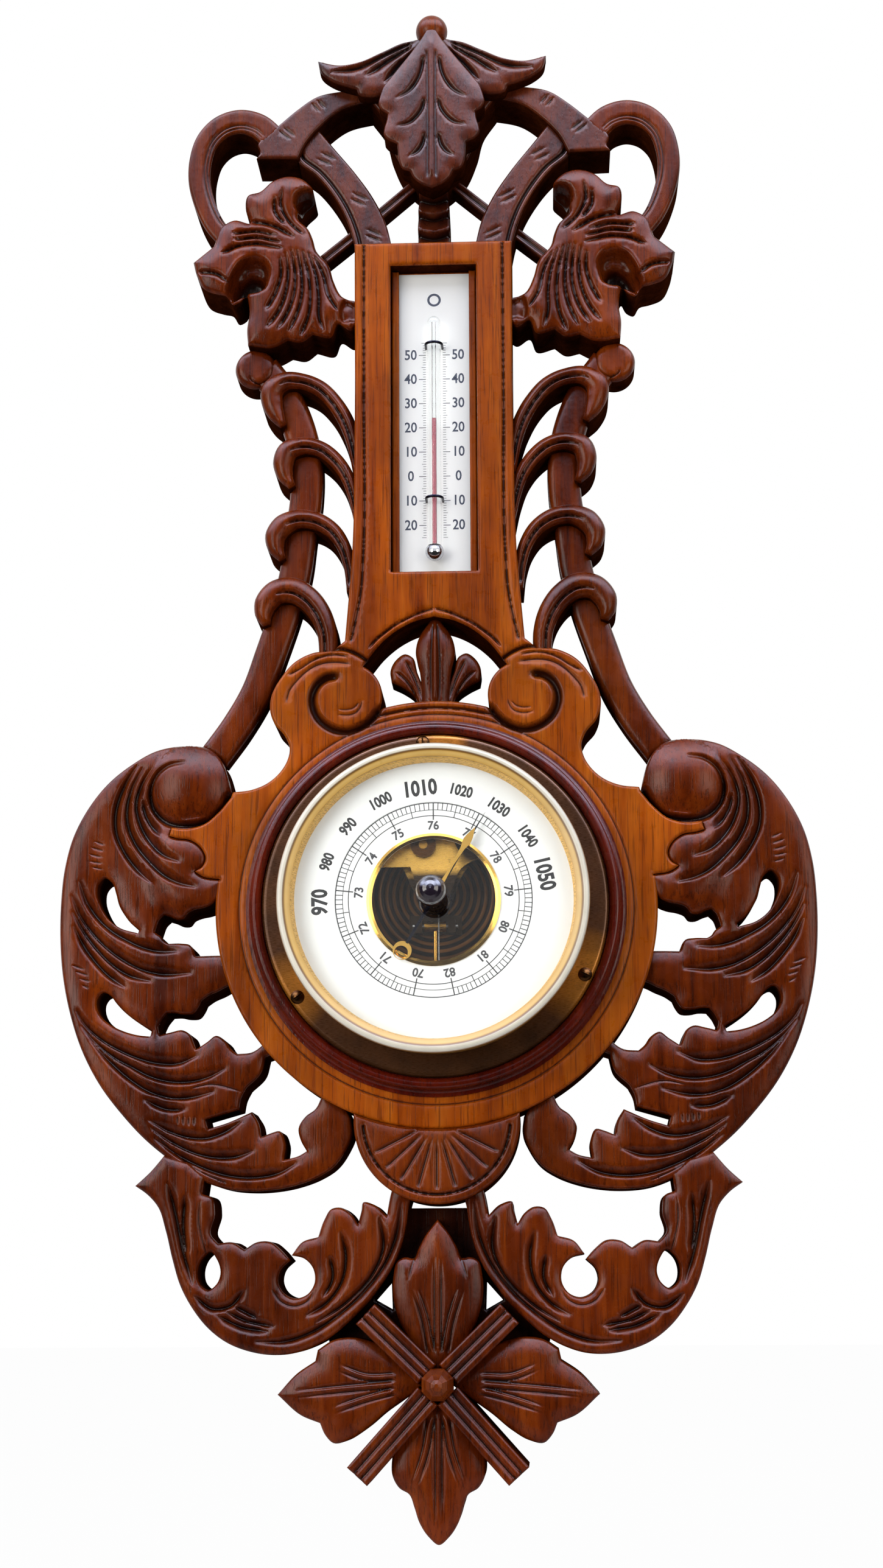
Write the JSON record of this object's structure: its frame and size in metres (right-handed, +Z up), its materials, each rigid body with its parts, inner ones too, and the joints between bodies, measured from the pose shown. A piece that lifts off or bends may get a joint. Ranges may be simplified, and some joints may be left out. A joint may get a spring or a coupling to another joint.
{
  "type": "wall barometer",
  "caption": "Carved wooden wall barometer: aneroid dial in a round board below a boxed thermometer, with pierced leaf scrolls, animal heads and a flower drop.",
  "frame": {"origin": "centre of the hanging hole in the brass plate, on the wall plane", "axes": "+Z up, +X to the viewer's right, +Y into the wall, so the dial faces -Y"},
  "size_m": [0.3204, 0.077, 0.661],
  "materials": {
    "polished_walnut": "french-polished orange-brown walnut",
    "carved_walnut": "french-polished dark red-brown carved walnut",
    "brass": "lacquered brass",
    "dark_brass": "antique bronzed brass",
    "gilt": "polished gilt brass",
    "bronze": "bronze sheet, lacquered",
    "steel": "plain steel",
    "blued_steel": "blued steel",
    "dial_white": "white painted dial",
    "opal_glass": "bluish white opal scale plate",
    "clear_glass": "clear glass",
    "red_liquid": "pinkish red liquid",
    "horn_black": "polished black-purple knob"
  },
  "bodies": {
    "case": {"centre_board": "polished_walnut", "turned_moulding": "polished_walnut", "left_wing": "carved_walnut", "right_wing": "carved_walnut", "left_rod": "carved_walnut", "right_rod": "carved_walnut", "left_head": "carved_walnut", "right_head": "carved_walnut", "crest_arches": "carved_walnut", "crest_leaf": "carved_walnut", "crest_knob": "carved_walnut", "fleuron": "carved_walnut", "fan_boss": "polished_walnut", "left_acanthus": "carved_walnut", "right_acanthus": "carved_walnut", "rosette": "carved_walnut", "rosette_button": "polished_walnut", "hanger_plate": "brass", "hanger_screws": "steel", "scale_plate": "opal_glass", "thermometer_tube": "clear_glass", "thermometer_liquid": "red_liquid", "tube_clips": "blued_steel", "case_drum": "brass", "flange": "dark_brass", "flange_screws": "dark_brass", "glass_ring": "gilt", "glass": "clear_glass", "reflector_ring": "gilt", "dial": "dial_white", "dial_rim": "gilt", "base_plate": "brass", "movement_screws": "steel", "capsule": "bronze", "capsule_post": "brass", "main_spring": "steel", "spring_screws": "steel", "lever_pin": "steel", "hairspring": "blued_steel", "bridge": "brass", "bridge_pillars": "brass", "bridge_nut": "dark_brass"},
    "pointer": {"indicator": "blued_steel", "indicator_crescent": "gilt", "arbor": "steel"},
    "set_pointer": {"set_hand": "gilt", "set_knob": "horn_black"},
    "adjuster": {"adjusting_screw": "steel"},
    "rocker": {"rocking_shaft": "brass"},
    "lever": {"main_lever": "brass"},
    "lever_link": {"link": "brass"},
    "chain_run": {"chain": "steel"}
  },
  "joints": [
    {"name": "pointer_turn", "type": "hinge", "parent": "case", "child": "pointer", "pos_m": [0, -0.0489, -0.354], "axis": [0, 1, 0], "range_deg": [-199, 137], "stiffness_Nm_per_rad": 0.0004},
    {"name": "rocking_turn", "type": "hinge", "parent": "case", "child": "rocker", "pos_m": [0, -0.02, -0.385], "axis": [1, 0, 0], "range_deg": [-20.84, 14.44]},
    {"name": "chain_run", "type": "slide", "parent": "case", "child": "chain_run", "axis": [0, 0, 1], "range_m": [-0.00385, 0.00558]},
    {"name": "lever_turn", "type": "hinge", "parent": "case", "child": "lever", "pos_m": [0, -0.0312, -0.363], "axis": [1, 0, 0], "range_deg": [-3.44, 4.87]},
    {"name": "link_slide", "type": "slide", "parent": "case", "child": "lever_link", "axis": [0, 1, 0], "range_m": [-0.00101, 0.00145]},
    {"name": "set_hand_turn", "type": "hinge", "parent": "case", "child": "set_pointer", "pos_m": [0, -0.0541, -0.354], "axis": [0, 1, 0], "continuous": true},
    {"name": "adjusting_turn", "type": "hinge", "parent": "case", "child": "adjuster", "pos_m": [0, -0.01, -0.348], "axis": [0, 1, 0], "continuous": true}
  ],
  "couplings": [
    {"joint": "rocking_turn", "follows": "pointer_turn", "ratio": 0.10323},
    {"joint": "chain_run", "follows": "pointer_turn", "m_per_rad": -0.0016},
    {"joint": "lever_turn", "follows": "pointer_turn", "ratio": -0.02294},
    {"joint": "link_slide", "follows": "pointer_turn", "m_per_rad": -0.0004129}
  ]
}
